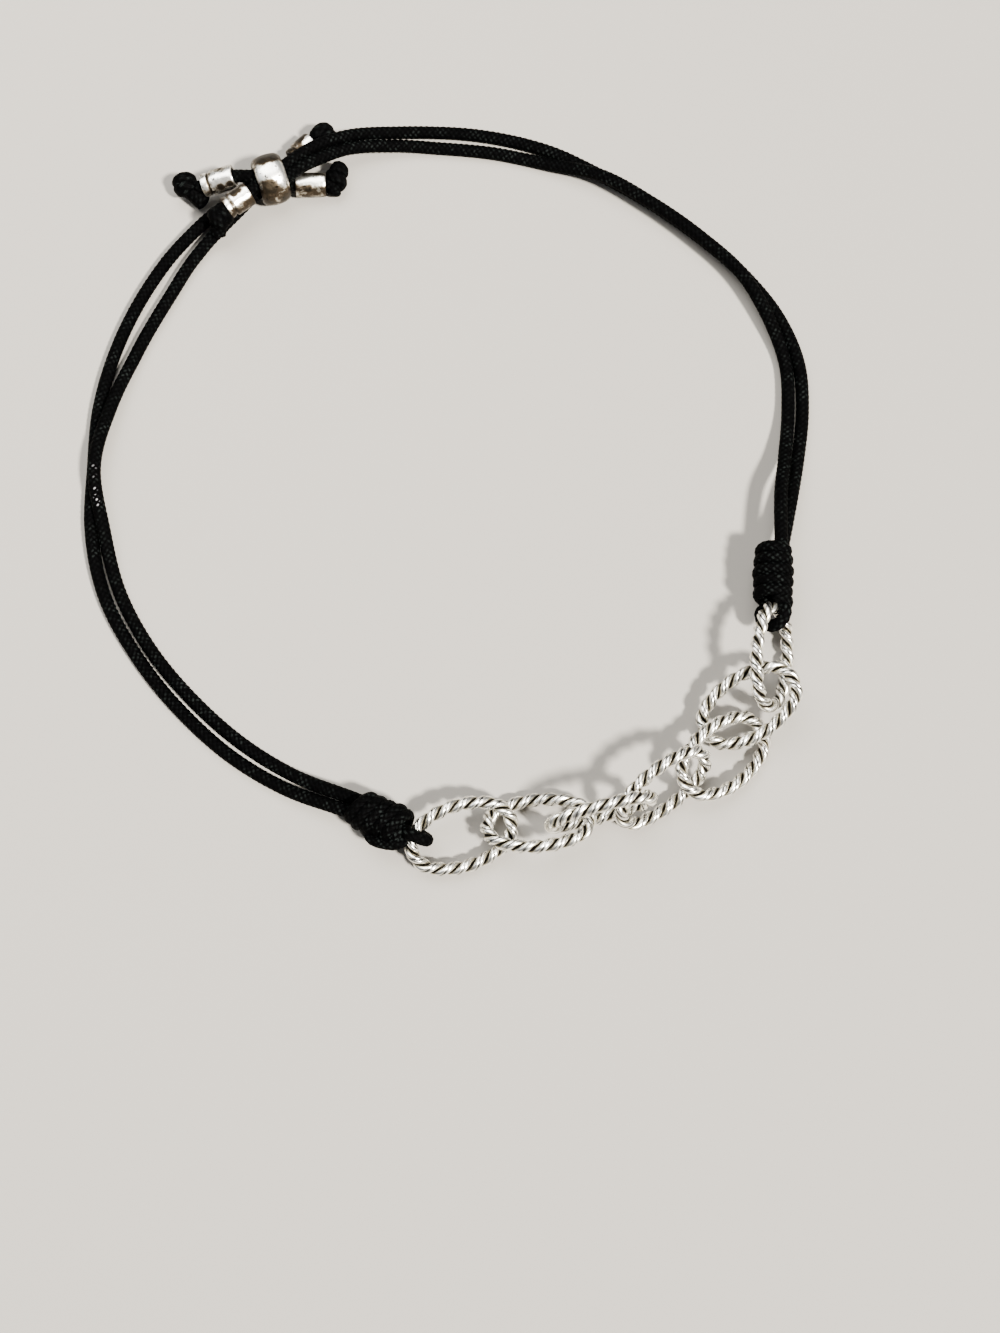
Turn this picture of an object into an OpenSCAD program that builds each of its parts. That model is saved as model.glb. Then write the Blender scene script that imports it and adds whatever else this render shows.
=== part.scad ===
// Adjustable cord bracelet, lying open on a table: seven twisted silver links
// between two doubled cords, which pass through one sliding bead.
// X runs to the right, Y away from the viewer, Z up from the table.

/* [Cord] */
// Diameter of the braided cord
cord_d = 1.2; // [1.0:0.05:1.2]

/* [Twisted links] */
// Length of a link, outside
link_length = 10.44; // [10:0.02:10.5]
// Width of a link, outside
link_width = 6.74; // [6.5:0.02:6.8]
// Thickness of the two-wire rope that a link is bent from
rope_d = 1.24; // [1.0:0.02:1.26]
// Radius of a link's end bends, at the middle of the rope
link_end_r = 2.2; // [2.0:0.05:2.4]
// Full turns of the twist round one link
twist_turns = 8; // [6:1:10]

/* [Slider bead] */
// Diameter of the slider at its belly
slider_d = 5.0; // [4.6:0.1:5.0]
// Diameter of the slider at its end faces
slider_face_d = 3.8; // [3.7:0.1:4.2]
// Length of the slider
slider_length = 3.0; // [2.8:0.1:3.0]
// Bore of the slider, for four cords
slider_bore_d = 3.2; // [3.1:0.1:3.4]

/* [End beads] */
// Diameter of an end bead
bead_d = 2.4; // [2.2:0.05:2.45]
// Bore of an end bead, for one cord
bead_bore_d = 1.5; // [1.4:0.05:1.6]
// Depth of the groove turned round an end bead
bead_groove = 0.1; // [0.05:0.05:0.15]

/* [Wrapped knots] */
// Diameter over the wraps
wrap_d = 3.8; // [3.5:0.1:3.8]
// Length of the left wrapped knot
wrap_length_left = 5.4; // [5.2:0.1:5.4]
// Length of the right wrapped knot
wrap_length_right = 5.7; // [5.5:0.1:5.7]
// Number of wraps
wrap_turns = 5; // [4:1:6]
// Radius of the cord loop that holds the end link, at the middle of the cord
loop_r = 1.35; // [1.3:0.05:1.5]

/* [End knots] */
// Diameter over an end knot
knot_d = 2.4; // [2.2:0.1:2.4]

/* [Hidden] */
$fn = 48;

cord_color = "#1b1b1d";
silver_color = "#c9c5bb";
aged_silver_color = "#9c9488";

// Clearance between a cord's end and the knot that it runs into
seat_gap = 0.05;
cord_r = cord_d / 2;
cord_sides = 8;

// Where the links lie
// centre x, y, z, then yaw, pitch and roll in degrees
LINK_ROWS = [
  [1.4, -34.4, 1.9, 18, 0, 20],
  [8.2, -33.3, 2.2, 4, 4, -30],
  [13.7, -32.6, 3.7, 14, 12, 90],
  [19.3, -30.3, 3.2, 37, 4, 60],
  [24.9, -27.1, 1.9, 39, -11, 18],
  [27.3, -22.6, 2.5, 31, 15, 3],
  [29.5, -18.1, 2.9, 83, 1, 53]
];

// Where the beads lie
// centre x, y, z, then yaw and pitch in degrees, then length
SLIDER_ROW = [-17.7, 30.9, 2.5, 20, 0, slider_length];
BEAD_ROWS = [
  [-22.85, 30.74, 2.48, 12, 12, 3.3],
  [-20.78, 27.98, 3.42, 36, 3, 2.8],
  [-14.85, 34.75, 1.3, 45, 1, 2.7],
  [-13.9, 30.95, 1.37, 2, -2, 2.9]
];

// Where the wrapped knots lie, each with its loop on its +X end
// centre of the loop's bend x, y, z, then yaw, pitch and spin in degrees,
// then the knot's length and its distance from the loop's bend
WRAP_LEFT_ROW = [-2.85, -34.35, 2.5, -26, 4, 15, wrap_length_left, 0.7];
WRAP_RIGHT_ROW = [29.75, -13.9, 3.0, -93, 0, -53, wrap_length_right, 1.05];

// End knots: length, side lean of the outer turn, and the way that the cut tail points, from down
KNOT_ROWS = [
  [2.5, 0.3, 80],
  [2.3, 0.2, 90],
  [2.1, 0.1, -90],
  [2.0, 0.3, 90]
];

// Middle lines of the four cord strands, from the wrapped knot to the end knot
// The outer right strand, to end bead 1
ROUTE_RIGHT_OUTER = [
  [31.05, -7.0, 2.4], [32.2, -2.0, 1.7], [33.05, 2.0, 0.9], [33.75, 7.0, 0.6],
  [33.6, 12.0, 0.6], [31.8, 17.0, 0.6], [28.7, 21.4, 0.7], [24.7, 25.3, 0.8],
  [19.8, 29.2, 0.8], [15.0, 32.3, 0.7], [10.0, 35.0, 0.6], [5.0, 36.5, 0.6],
  [-0.2, 37.2, 0.6], [-5.4, 37.05, 1.0], [-10.6, 35.7, 2.45], [-13.4, 34.2, 3.15],
  [-15.2, 32.95, 3.2], [-16.35, 32.05, 3.15], [-19.45, 30.9, 3.15], [-21.25, 31.08, 2.8],
  [-24.6, 30.37, 2.06]
];
// The inner right strand, to end bead 2
ROUTE_RIGHT_INNER = [
  [30.7, -7.0, 3.6], [31.0, -2.0, 2.9], [31.7, 2.0, 1.6], [32.35, 7.0, 0.7],
  [32.3, 12.0, 0.7], [30.8, 16.4, 1.4], [28.4, 20.8, 1.9], [24.5, 24.8, 2.0],
  [19.6, 28.7, 2.0], [14.8, 31.7, 1.9], [9.8, 33.5, 0.9], [4.8, 34.8, 0.6],
  [-0.3, 35.4, 0.6], [-5.4, 35.55, 1.0], [-10.6, 34.4, 2.2], [-13.0, 32.9, 3.0],
  [-14.7, 31.8, 3.3], [-15.95, 30.9, 3.15], [-19.05, 29.75, 3.15], [-19.75, 28.75, 3.47],
  [-22.1, 27.05, 3.35]
];
// The outer left strand, to end bead 3
ROUTE_LEFT_OUTER = [
  [-8.78, -32.2, 2.0], [-14.6, -29.9, 0.8], [-19.3, -27.1, 0.6], [-23.9, -23.1, 0.6],
  [-28.6, -17.5, 0.6], [-32.0, -11.5, 0.6], [-33.6, -5.1, 0.6], [-33.75, 1.0, 0.6],
  [-33.6, 7.2, 0.6], [-32.1, 14.0, 0.6], [-29.3, 20.5, 0.6], [-26.85, 24.35, 0.6],
  [-25.0, 26.45, 0.8], [-23.35, 28.0, 1.0], [-21.6, 29.2, 1.25], [-20.4, 30.2, 1.6],
  [-19.45, 30.9, 1.85], [-16.35, 32.05, 1.85], [-15.95, 33.6, 1.3], [-13.85, 35.7, 1.32]
];
// The inner left strand, to end bead 4
ROUTE_LEFT_INNER = [
  [-8.28, -31.05, 2.0], [-14.0, -28.6, 0.8], [-18.5, -25.8, 0.6], [-23.0, -21.9, 0.6],
  [-27.6, -16.5, 0.6], [-30.7, -10.9, 0.6], [-32.3, -5.1, 1.35], [-33.4, 0.8, 1.9],
  [-32.3, 7.2, 1.35], [-30.2, 13.3, 0.6], [-27.2, 19.5, 0.6], [-25.2, 23.2, 0.6],
  [-23.8, 25.1, 0.8], [-22.3, 26.7, 1.1], [-20.9, 28.1, 1.4], [-19.9, 29.1, 1.65],
  [-19.05, 29.75, 1.85], [-15.95, 30.9, 1.85], [-15.25, 30.85, 1.42], [-12.3, 31.0, 1.32]
];

function unit(v) = v / norm(v);

// A sweep turned into one closed mesh of quads split in two, with flat ends or end to start
function sweep_faces(rings, sides, closed) = concat(
  [for (i = [0 : rings - (closed ? 1 : 2)], k = [0 : sides - 1])
    let (a = i * sides + k, b = i * sides + (k + 1) % sides,
         c = ((i + 1) % rings) * sides + (k + 1) % sides, d = ((i + 1) % rings) * sides + k)
    each [[a, b, c], [a, c, d]]],
  closed ? [] : [[for (k = [sides - 1 : -1 : 0]) k], [for (k = [0 : sides - 1]) (rings - 1) * sides + k]]
);

// Direction of a route at one of its points, along its own run at both ends
function heading(route, i) = unit(
  route[min(i + 1, len(route) - 1)] - route[max(i - 1, 0)]
);

function cord_ring(route, i) =
  let (ahead = heading(route, i), side = unit(cross(ahead, [0, 0, 1])), up = cross(side, ahead))
  [for (k = [0 : cord_sides - 1])
    let (a = (k + 0.5) * 360 / cord_sides)
    route[i] + cord_r * (cos(a) * side + sin(a) * up)];

module strand(route) {
  color(cord_color)
    polyhedron(
      points = [for (i = [0 : len(route) - 1]) each cord_ring(route, i)],
      faces = sweep_faces(len(route), cord_sides, false)
    );
}

// Middle line of a link: an oval of two end arcs and two long side arcs
half_l = (link_length - rope_d) / 2;
half_w = (link_width - rope_d) / 2;
side_r = (pow(half_l - link_end_r, 2) + half_w * half_w - link_end_r * link_end_r)
  / (2 * (half_w - link_end_r));
end_half_angle = atan2(side_r - half_w, half_l - link_end_r);
end_half_run = link_end_r * end_half_angle * PI / 180;
side_half_run = side_r * (90 - end_half_angle) * PI / 180;
quarter_run = end_half_run + side_half_run;

// Point and direction at run s along the first quarter, from the +X end to the middle of a side
function quarter_point(s) = s < end_half_run
  ? let (a = s / link_end_r * 180 / PI)
    [half_l - link_end_r + link_end_r * cos(a), link_end_r * sin(a), a]
  : let (a = end_half_angle + (s - end_half_run) / side_r * 180 / PI)
    [side_r * cos(a), half_w - side_r + side_r * sin(a), a];

// The same all round, where the third value is the way that the rope's outer side faces
function oval_point(s) =
  let (q = floor(s / quarter_run) % 4, r = s - floor(s / quarter_run) * quarter_run,
       p = quarter_point(q % 2 == 0 ? r : quarter_run - r))
  q == 0 ? p
  : q == 1 ? [-p[0], p[1], 180 - p[2]]
  : q == 2 ? [-p[0], -p[1], 180 + p[2]]
  : [p[0], -p[1], -p[2]];

link_rings = 72;
// Section of the two touching wires: a long flat hexagon
section_tip = rope_d * 0.5;
section_corner_x = rope_d * 0.22;
section_corner_y = rope_d * 0.27;
rope_section = [for (side = [1, -1]) each [
  [side * section_tip, 0], [side * section_corner_x, side * section_corner_y],
  [-side * section_corner_x, side * section_corner_y]
]];

function rope_ring(i) =
  let (p = oval_point(i / link_rings * 4 * quarter_run), turn = 360 * twist_turns * i / link_rings)
  [for (v = rope_section)
    let (out = v[0] * cos(turn) - v[1] * sin(turn), up = v[0] * sin(turn) + v[1] * cos(turn))
    [p[0] + out * cos(p[2]), p[1] + out * sin(p[2]), up]];

module link(row) {
  color(silver_color)
    translate([row[0], row[1], row[2]]) rotate([0, 0, row[3]]) rotate([0, -row[4], 0]) rotate([row[5], 0, 0])
      polyhedron(
        points = [for (i = [0 : link_rings - 1]) each rope_ring(i)],
        faces = sweep_faces(link_rings, len(rope_section), true)
      );
}

// Lays a piece whose axis is Z along a row's yaw and pitch
module laid(row) {
  translate([row[0], row[1], row[2]]) rotate([0, 0, row[3]]) rotate([0, 90 - row[4], 0]) children();
}

module slider_bead() {
  belly_bulge = (slider_d - slider_face_d) / 2;
  belly_r = (pow(slider_length / 2, 2) + belly_bulge * belly_bulge) / (2 * belly_bulge);
  color(aged_silver_color)
    laid(SLIDER_ROW)
      rotate_extrude()
        intersection() {
          translate([slider_bore_d / 2, -slider_length / 2]) square([slider_d, slider_length]);
          translate([slider_d / 2 - belly_r, 0]) circle(r = belly_r, $fn = 96);
        }
}

module end_bead(row) {
  length = row[5];
  groove_at = -length / 4;
  groove_r = 2 * bead_groove;
  color(aged_silver_color)
    laid(row)
      difference() {
        cylinder(d = bead_d, h = length, center = true);
        cylinder(d = bead_bore_d, h = length + 1, center = true);
        translate([0, 0, groove_at])
          rotate_extrude() translate([bead_d / 2 + groove_r - bead_groove, 0]) circle(r = groove_r, $fn = 24);
      }
}

// How far the outer wraps are drawn in along the knot, and a wrap's radius as a share of the pitch
wrap_draw = 0.03;
wrap_swell = 0.56;

module wrapped_knot(row) {
  length = row[6];
  pitch = length / wrap_turns;
  wrap_r = pitch * wrap_swell;
  color(cord_color)
    laid(row) translate([0, 0, -row[7] - length]) {
      cylinder(d = wrap_d - 2 * wrap_r, h = length);
      for (i = [0 : wrap_turns - 1])
        translate([0, 0, length / 2 + (i - (wrap_turns - 1) / 2) * (pitch - wrap_draw)])
          rotate_extrude() translate([wrap_d / 2 - wrap_r, 0]) circle(r = wrap_r, $fn = 32);
    }
}

module cord_loop(row) {
  leg = row[7] - seat_gap;
  color(cord_color)
    laid(row) rotate([0, 0, row[5]]) {
      for (side = [1, -1])
        translate([side * loop_r, 0, -leg]) cylinder(d = cord_d, h = leg);
      rotate([90, 0, 0]) rotate_extrude(angle = 180) translate([loop_r, 0]) circle(d = cord_d);
    }
}

// An end knot sits on the last run of its strand: three turns of cord and a cut tail at their side
knot_turns = 3;
knot_turn_r = knot_d * 0.23;
knot_ring_r = knot_d / 2 - knot_turn_r;
// How far the core stops short of the last turn's crown
knot_core_dip = 0.22;
tail_r = cord_r * 0.95;
tail_length = knot_d * 0.85;

module end_knot(route, row) {
  last = route[len(route) - 1];
  ahead = unit(last - route[len(route) - 2]);
  seat = last + seat_gap * ahead;
  length = row[0];
  color(cord_color)
    laid([seat[0], seat[1], seat[2], atan2(ahead[1], ahead[0]), asin(ahead[2])]) {
      cylinder(r = knot_ring_r, h = length - knot_core_dip);
      rotate([0, 0, row[2]]) {
        for (i = [0 : knot_turns - 1])
          translate([-row[1] * i / (knot_turns - 1), 0,
            knot_turn_r + i * (length - 2 * knot_turn_r) / (knot_turns - 1)])
            rotate_extrude($fn = 72) translate([knot_ring_r, 0]) circle(r = knot_turn_r);
        translate([0, 0, length / 2]) rotate([0, 90, 0]) cylinder(r = tail_r, h = tail_length);
      }
    }
}

link(LINK_ROWS[0]);  // link_1
link(LINK_ROWS[1]);  // link_2
link(LINK_ROWS[2]);  // link_3
link(LINK_ROWS[3]);  // link_4
link(LINK_ROWS[4]);  // link_5
link(LINK_ROWS[5]);  // link_6
link(LINK_ROWS[6]);  // link_7
wrapped_knot(WRAP_LEFT_ROW);  // wrapped_knot_left
wrapped_knot(WRAP_RIGHT_ROW);  // wrapped_knot_right
cord_loop(WRAP_LEFT_ROW);  // loop_left
cord_loop(WRAP_RIGHT_ROW);  // loop_right
strand(ROUTE_LEFT_OUTER);  // strand_left_outer
strand(ROUTE_LEFT_INNER);  // strand_left_inner
strand(ROUTE_RIGHT_OUTER);  // strand_right_outer
strand(ROUTE_RIGHT_INNER);  // strand_right_inner
slider_bead();
end_bead(BEAD_ROWS[0]);  // end_bead_1
end_bead(BEAD_ROWS[1]);  // end_bead_2
end_bead(BEAD_ROWS[2]);  // end_bead_3
end_bead(BEAD_ROWS[3]);  // end_bead_4
end_knot(ROUTE_RIGHT_OUTER, KNOT_ROWS[0]);  // end_knot_1
end_knot(ROUTE_RIGHT_INNER, KNOT_ROWS[1]);  // end_knot_2
end_knot(ROUTE_LEFT_OUTER, KNOT_ROWS[2]);  // end_knot_3
end_knot(ROUTE_LEFT_INNER, KNOT_ROWS[3]);  // end_knot_4
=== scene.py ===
"""An adjustable cord bracelet lying open: braided cords, twisted silver links and worn beads."""

import logging
import math
from dataclasses import dataclass
from enum import Enum

import bpy
import numpy as np
from mathutils import Matrix, Vector


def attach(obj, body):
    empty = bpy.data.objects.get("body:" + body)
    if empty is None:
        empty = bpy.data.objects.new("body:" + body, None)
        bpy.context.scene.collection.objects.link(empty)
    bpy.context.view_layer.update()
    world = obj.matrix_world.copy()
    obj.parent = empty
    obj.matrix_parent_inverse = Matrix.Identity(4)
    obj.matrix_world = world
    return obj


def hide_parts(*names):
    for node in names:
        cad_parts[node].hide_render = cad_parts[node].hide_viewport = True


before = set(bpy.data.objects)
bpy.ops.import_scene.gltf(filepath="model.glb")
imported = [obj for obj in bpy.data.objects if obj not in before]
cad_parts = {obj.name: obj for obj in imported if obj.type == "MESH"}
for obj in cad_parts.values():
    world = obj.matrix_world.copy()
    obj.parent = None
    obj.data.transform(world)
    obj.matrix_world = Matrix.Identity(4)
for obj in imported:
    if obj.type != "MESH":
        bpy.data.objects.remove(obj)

log = logging.getLogger("bracelet")

Numbers = tuple[float, ...]
Rows = tuple[Numbers, ...]

BODY = "root"
MM = 0.001

# Across the raised yarns of a cord, and across both wires of a link.
CORD_D = 1.3 * MM
ROPE_D = 1.32 * MM

# Points between two stations of a smooth curve, and the fewest steps of any line.
CURVE_STEPS = 25
FEWEST_STEPS = 8


class Slot(Enum):
    """The record's material slots."""

    CORD = "cord"
    SILVER = "silver"
    AGED_SILVER = "aged_silver"


class Side(Enum):
    """The end of the chain that a wrapped knot is on."""

    LEFT = "left"
    RIGHT = "right"


class Winding(Enum):
    """The way that cord is wound, seen along the axis of its knot."""

    CLOCKWISE = 1
    COUNTER = -1


class Scene:
    """Small jobs that all pieces share: selecting, shaping, marking and dressing them."""

    @staticmethod
    def deselect() -> None:
        """Select nothing, so that an operator acts on the next piece alone."""
        bpy.ops.object.select_all(action="DESELECT")

    @staticmethod
    def take(piece: bpy.types.Object) -> None:
        """Select one piece alone and make it the active one.

        Args:
            piece: The piece.
        """
        Scene.deselect()
        piece.select_set(True)
        bpy.context.view_layer.objects.active = piece

    @staticmethod
    def add_mesh(name: str, mesh: bpy.types.Mesh) -> bpy.types.Object:
        """Put a mesh in the scene as a piece of its own.

        Args:
            name: The piece's name.
            mesh: Its finished mesh.

        Returns:
            The new object, at the origin.
        """
        piece = bpy.data.objects.new(name, mesh)
        bpy.context.scene.collection.objects.link(piece)
        return piece

    @staticmethod
    def modify(piece: bpy.types.Object, kind: str, **settings: object) -> None:
        """Add one modifier to a piece and apply it.

        Args:
            piece: The piece to shape.
            kind: The modifier's type.
            **settings: Its settings by name.
        """
        Scene.take(piece)
        modifier = piece.modifiers.new(kind.title(), kind)
        for key, value in settings.items():
            setattr(modifier, key, value)
        bpy.ops.object.modifier_apply(modifier=modifier.name)

    @staticmethod
    def weld(piece: bpy.types.Object, gap: float) -> None:
        """Close a piece's seams and turn its faces outwards.

        Args:
            piece: The piece.
            gap: The distance under which two points become one.
        """
        Scene.take(piece)
        bpy.ops.object.mode_set(mode="EDIT")
        bpy.ops.mesh.select_all(action="SELECT")
        bpy.ops.mesh.remove_doubles(threshold=gap)
        bpy.ops.mesh.normals_make_consistent(inside=False)
        bpy.ops.object.mode_set(mode="OBJECT")

    @staticmethod
    def settle(piece: bpy.types.Object, place: Matrix) -> None:
        """Move a piece's mesh to its place, and leave the object itself at the origin."""
        piece.data.transform(place)
        piece.data.update()

    @staticmethod
    def mark(mesh: bpy.types.Mesh, name: str, values: np.ndarray | list) -> None:
        """Store one number for each point of a mesh, for its material to read."""
        numbers = np.asarray(values, dtype=np.float32).ravel()
        mesh.attributes.new(name, "FLOAT", "POINT").data.foreach_set("value", numbers)

    @staticmethod
    def enlist(piece: bpy.types.Object, slot: Slot, material: bpy.types.Material,
               *nodes: str) -> None:
        """Dress a piece, hang it from the body's empty, hide the solids that it stands for and log
        it.

        Args:
            piece: The finished piece.
            slot: The material slot that the log line names.
            material: Its material.
            *nodes: The solids that it stands for.
        """
        piece.data.materials.clear()
        piece.data.materials.append(material)
        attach(piece, BODY)
        if nodes:
            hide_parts(*nodes)
        log.info("%s: %d faces, %s", piece.name, len(piece.data.polygons), slot.value)


class NodeBench:
    """Adds and wires the nodes of one material."""

    def __init__(self, name: str, **sockets: object) -> None:
        """Start a material with one Principled shader.

        Args:
            name: The material's name.
            **sockets: Values for the shader's own sockets, as dress takes them.
        """
        self.material = bpy.data.materials.new(name)
        self.material.use_nodes = True
        self.tree = self.material.node_tree
        self.shader = self.tree.nodes["Principled BSDF"]
        self.dress(**sockets)

    def dress(self, **sockets: object) -> bpy.types.Material:
        """Set or wire the shader's sockets.

        Args:
            **sockets: A value or an output socket for each, with spaces written as underscores.

        Returns:
            The material.
        """
        for key, value in sockets.items():
            self.feed(self.shader.inputs[key.replace("_", " ")], value)
        return self.material

    def add(self, kind: str, inputs: dict, **settings: object) -> bpy.types.Node:
        """Add a node, set it and wire it.

        Args:
            kind: The node's type, without the ShaderNode that it starts with.
            inputs: A value or another node's output socket for each input, by name or number.
            **settings: The node's own settings.

        Returns:
            The new node.
        """
        node = self.tree.nodes.new("ShaderNode" + kind)
        for key, value in settings.items():
            setattr(node, key, value)
        for key, value in inputs.items():
            self.feed(node.inputs[key], value)
        return node

    def feed(self, socket: bpy.types.NodeSocket, value: object) -> None:
        """Give a socket a value, or wire it to another node's output.

        Args:
            socket: The input socket.
            value: The value or the output socket.
        """
        if isinstance(value, bpy.types.NodeSocket):
            self.tree.links.new(value, socket)
        else:
            socket.default_value = value

    def math(self, operation: str, first: object, second: object = 0.0) -> bpy.types.NodeSocket:
        """Return the result of one sum on values or sockets."""
        return self.add("Math", {0: first, 1: second}, operation=operation).outputs[0]

    def product(self, first: bpy.types.NodeSocket, *others: object) -> bpy.types.NodeSocket:
        """Multiply several sockets or values together.

        Args:
            first: The first socket.
            *others: The sockets or values that multiply it.

        Returns:
            The product's socket.
        """
        for other in others:
            first = self.math("MULTIPLY", first, other)
        return first

    def drift(self, noise: bpy.types.NodeSocket, reach: float) -> bpy.types.NodeSocket:
        """Return a noise that swings about zero, as far as reach allows."""
        return self.product(self.math("SUBTRACT", noise, 0.5), reach)

    def attribute(self, name: str) -> bpy.types.NodeSocket:
        """Return a number that the mesh carries by name."""
        return self.add("Attribute", {}, attribute_name=name).outputs["Fac"]

    def noise(self, scale: float, detail: float = 3.0,
              roughness: float = 0.5) -> bpy.types.NodeSocket:
        """Add noise in the piece's own coordinates.

        Args:
            scale: Features to the metre.
            detail: How many finer layers it has.
            roughness: How strong those layers are.

        Returns:
            The noise's socket, from 0 to 1.
        """
        place = self.add("TexCoord", {}).outputs["Object"]
        inputs = {"Vector": place, "Scale": scale, "Detail": detail, "Roughness": roughness}
        return self.add("TexNoise", inputs).outputs[0]

    def ramp(self, value: bpy.types.NodeSocket, *stops: tuple) -> bpy.types.NodeSocket:
        """Add a colour ramp over a value.

        Args:
            value: The value that drives the ramp.
            *stops: Pairs of a position and a colour of three numbers or one grey.

        Returns:
            The ramp's colour socket.
        """
        node = self.add("ValToRGB", {"Fac": value})
        points = node.color_ramp.elements
        while len(points) < len(stops):
            points.new(1.0)
        for point, (position, color) in zip(points, stops):
            point.position = position
            rgb = color if isinstance(color, tuple) else (color,) * 3
            point.color = (*rgb, 1.0)
        return node.outputs["Color"]

    def mix(self, factor: object, first: object, second: object) -> bpy.types.NodeSocket:
        """Mix two colours.

        Args:
            factor: The share of the second, as a value or a socket.
            first: A colour of three numbers, or a socket.
            second: The same.

        Returns:
            The mixed colour's socket.
        """
        first = (*first, 1.0) if isinstance(first, tuple) else first
        second = (*second, 1.0) if isinstance(second, tuple) else second
        return self.add("Mix", {0: factor, 6: first, 7: second}, data_type="RGBA").outputs[2]

    def bump(self, height: bpy.types.NodeSocket, depth: float, strength: float,
             under: bpy.types.NodeSocket | None = None) -> bpy.types.NodeSocket:
        """Raise a normal by a height.

        Args:
            height: The height, from 0 to 1.
            depth: What a height of 1 stands for, in metres.
            strength: The share of it that shows.
            under: A normal that this one is laid over.

        Returns:
            The new normal's socket.
        """
        inputs = {"Height": height, "Distance": depth, "Strength": strength}
        if under is not None:
            inputs["Normal"] = under
        return self.add("Bump", inputs).outputs[0]


@dataclass(frozen=True)
class BraidFinish:
    """Waxed black braid: near black, with painted shade in its valleys, a painted grey sheen in
    flecks on its raised yarns, and a few crowns polished by rubbing and painted light grey as a
    glint.

    A noise is its features to the metre and its detail, a bump its depth and its strength, and
    the other pairs are the stops of a ramp.
    """

    # Painted shade: the colour of the valleys between the yarns, darker than the crowns.
    valley_shade: Numbers = (0.0001, 0.0001, 0.0001)
    crown: Numbers = (0.0004, 0.0004, 0.0005)
    # Painted sheen: the grey painted in flecks on the raised yarns.
    sheen_fleck: Numbers = (0.011, 0.014, 0.013)
    # Painted glint: the light grey painted where the crowns are polished by rubbing.
    rubbed_glint: Numbers = (0.60, 0.60, 0.62)
    gloss: float = 0.013
    filaments: int = 5
    rise: Rows = ((0.25, 0.0), (0.85, 1.0))
    ridge: Rows = ((0.62, 0.0), (0.86, 1.0))
    streak: Rows = ((0.3, 0.1), (0.7, 1.0))
    grain_noise: Numbers = (1500.0, 3.0)
    grain: Rows = ((0.45, 0.0), (0.62, 1.0))
    patch_noise: Numbers = (360.0, 2.0)
    patch: Rows = ((0.40, 0.15), (0.58, 1.0))
    rubbed_glint_top: Rows = ((0.70, 0.0), (0.88, 1.0))
    polish: Rows = ((0.0, 0.6), (1.0, 0.28))
    filament_bump: Numbers = (0.012 * MM, 0.7)
    fuzz_noise: Numbers = (9000.0, 3.0)
    fuzz_bump: Numbers = (0.012 * MM, 0.5)

    def build(self) -> bpy.types.Material:
        """Lay the cord's colours over each other, from its painted valley shade to its painted
        glints.

        Returns:
            The cord's material.
        """
        bench = NodeBench("black_braid", Specular_IOR_Level=self.gloss)
        crown = bench.attribute("crown")
        across = bench.product(bench.attribute("across"), 2 * math.pi * self.filaments)
        wave = bench.math("SINE", across)
        lifted = bench.math("ADD", bench.product(wave, 0.5), 0.5)
        # Painted sheen: grey flecks on the crowns of the yarns, streaked along their filaments.
        sheen_speck = bench.product(bench.ramp(bench.noise(*self.grain_noise), *self.grain),
                              bench.ramp(bench.noise(*self.patch_noise), *self.patch),
                              bench.ramp(crown, *self.ridge), bench.ramp(lifted, *self.streak))
        # Painted glint on the crowns polished by rubbing; the same mask also makes them smoother.
        glint_mask = bench.product(bench.attribute("worn"), bench.ramp(crown, *self.rubbed_glint_top))
        # Painted shade: the cord is painted darker in the valleys between its yarns.
        base = bench.mix(bench.ramp(crown, *self.rise), self.valley_shade, self.crown)
        color = bench.mix(glint_mask, bench.mix(sheen_speck, base, self.sheen_fleck), self.rubbed_glint)
        filaments = bench.bump(wave, *self.filament_bump)
        normal = bench.bump(bench.noise(*self.fuzz_noise), *self.fuzz_bump, filaments)
        return bench.dress(Base_Color=color, Roughness=bench.ramp(glint_mask, *self.polish),
                           Normal=normal)


@dataclass(frozen=True)
class WireFinish:
    """Bright silver wire, polished clean by rubbing on its crests, and black between its turns
    with tarnished silver and painted shade.

    Edges are where the black of tarnished silver and painted shade ends, the dull metal lies and
    the bright metal starts, as shares of the rope's radius. The other values are written as in
    BraidFinish.
    """

    bright: Numbers = (0.99, 0.97, 0.90)
    dull: Numbers = (0.34, 0.31, 0.23)
    # Black of tarnished silver and painted shade, in the crevices between the turns and in the fine
    # line.
    tarnish_and_shade: Numbers = (0.006, 0.005, 0.004)
    edges: Numbers = (0.58, 0.69, 0.81)
    cloud_noise: Numbers = (1500.0, 4.0)
    wander: float = 0.38
    line_noise: Numbers = (900.0, 3.0)
    line: Rows = ((0.40, 0.5), (0.50, 1.0))
    scuff_noise: Numbers = (5200.0, 2.0)
    scuffs: Rows = ((0.62, 0.0), (0.74, 0.4))
    polish: Rows = ((0.5, 0.6), (0.8, 0.26))
    grain_noise: Numbers = (4000.0, 3.0)
    grain_bump: Numbers = (0.02 * MM, 0.3)

    def build(self) -> bpy.types.Material:
        """Shade the wire from its crest inwards, with the dark line and the scuffs over it.

        Returns:
            The links' material.
        """
        bench = NodeBench("bright_silver_wire", Metallic=1.0)
        drift = bench.drift(bench.noise(*self.cloud_noise), self.wander)
        reach = bench.math("ADD", bench.attribute("crest"), drift)
        # Painted shade with tarnished silver: darker from the crest towards the crevices.
        color = bench.ramp(reach, *zip(self.edges, (self.tarnish_and_shade, self.dull, self.bright)))
        broken = bench.ramp(bench.noise(*self.line_noise), *self.line)
        color = bench.mix(bench.product(bench.attribute("line"), broken), color, self.tarnish_and_shade)
        scuffs = bench.ramp(bench.noise(*self.scuff_noise), *self.scuffs)
        grain = bench.bump(bench.noise(*self.grain_noise), *self.grain_bump)
        return bench.dress(Base_Color=bench.mix(scuffs, color, self.dull),
                           Roughness=bench.ramp(reach, *self.polish), Normal=grain)


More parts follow.
